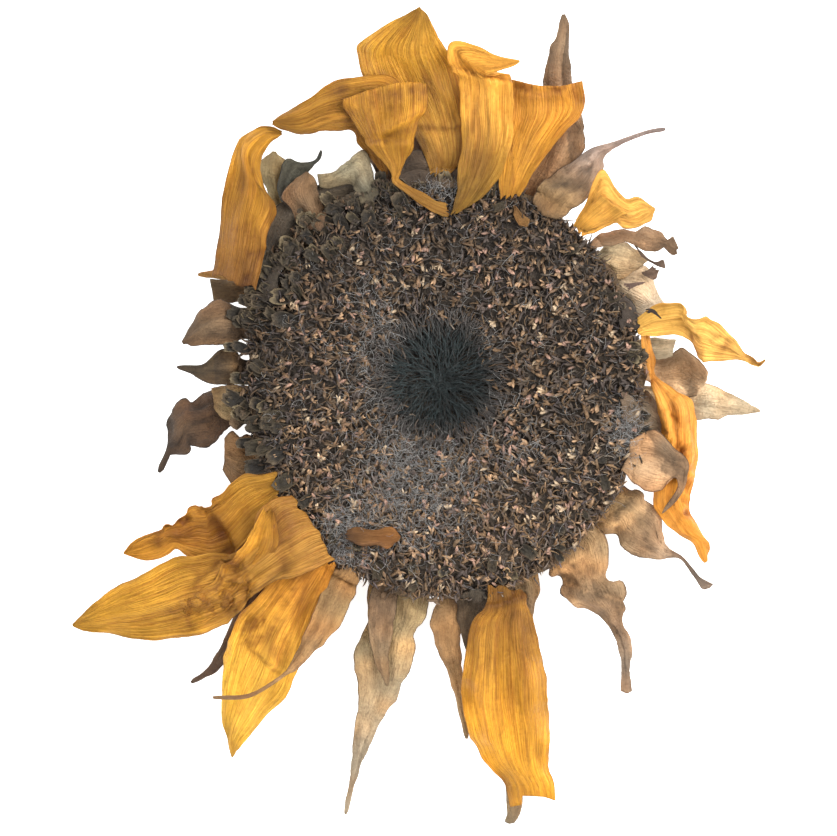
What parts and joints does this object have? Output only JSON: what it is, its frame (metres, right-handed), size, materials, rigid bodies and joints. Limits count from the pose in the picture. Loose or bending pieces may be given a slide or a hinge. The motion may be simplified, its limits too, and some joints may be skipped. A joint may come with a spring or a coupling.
{
  "type": "dried sunflower seed head",
  "caption": "Dried sunflower head lying on its back: a domed disc of dark dry florets on a shallow dish, ringed by curled golden petals and withered brown bracts.",
  "frame": {"origin": "centre of the small flat spot under the receptacle, on the surface that the head lies on and under the middle of the floret disc", "axes": "+Z out of the floret disc, the way the open flower faces; +Y up the face of the head, towards the tallest petals; +X to the right of someone looking at the face"},
  "size_m": [0.1732, 0.2043, 0.0319],
  "materials": {
    "receptacle": "dry, matte, wrinkled",
    "florets": "dry, matte, bristly",
    "petal": "papery, veined, slightly silky",
    "bract": "dry leaf, matte",
    "pale_bract": "bleached dry leaf, matte"
  },
  "bodies": {
    "root": {"receptacle": "receptacle", "floret_disc": "florets", "petal_left_hanging": "petal", "petal_top_short": "petal", "petal_top_left_long": "petal", "petal_top_tall": "petal", "petal_top_centre": "petal", "petal_top_right": "petal", "petal_right_upper": "petal", "petal_right_middle": "petal", "petal_right_lower": "petal", "petal_bottom": "petal", "petal_lower_left_upper": "petal", "petal_lower_left_long": "petal", "petal_lower_left_down": "petal", "bract_top_right": "bract", "bract_upper_right": "bract", "bract_right_dark": "bract", "bract_right_cream_upper": "pale_bract", "bract_right_cream_lower": "pale_bract", "bract_right_cream_small": "pale_bract", "bract_right_curled": "bract", "bract_right_pale": "pale_bract", "bract_right_small": "bract", "bract_right_hooked": "bract", "bract_lower_right_long": "bract", "bract_lower_right": "bract", "bract_bottom_shred": "bract", "bract_bottom_under_petal": "bract", "bract_bottom_dark": "bract", "bract_bottom_thin": "bract", "bract_bottom_large": "bract", "bract_bottom_inner": "bract", "bract_over_petal": "bract", "bract_lower_left_dark": "bract", "bract_left_low": "bract", "bract_left_ragged": "bract", "bract_left_short": "bract", "bract_left_small": "bract", "bract_left_pointed": "bract", "bract_left_broad": "bract", "bract_left_upper_dark": "bract", "bract_left_tan_tip": "bract", "bract_upper_left_grey": "bract", "bract_upper_left_dark": "bract", "bract_upper_left_brown": "bract", "bract_upper_left_green": "bract", "bract_behind_top_left": "bract", "bract_behind_top": "bract", "bract_behind_top_centre": "bract", "bract_behind_lower_left": "bract", "bract_behind_petal_down": "bract"}
  },
  "joints": []
}
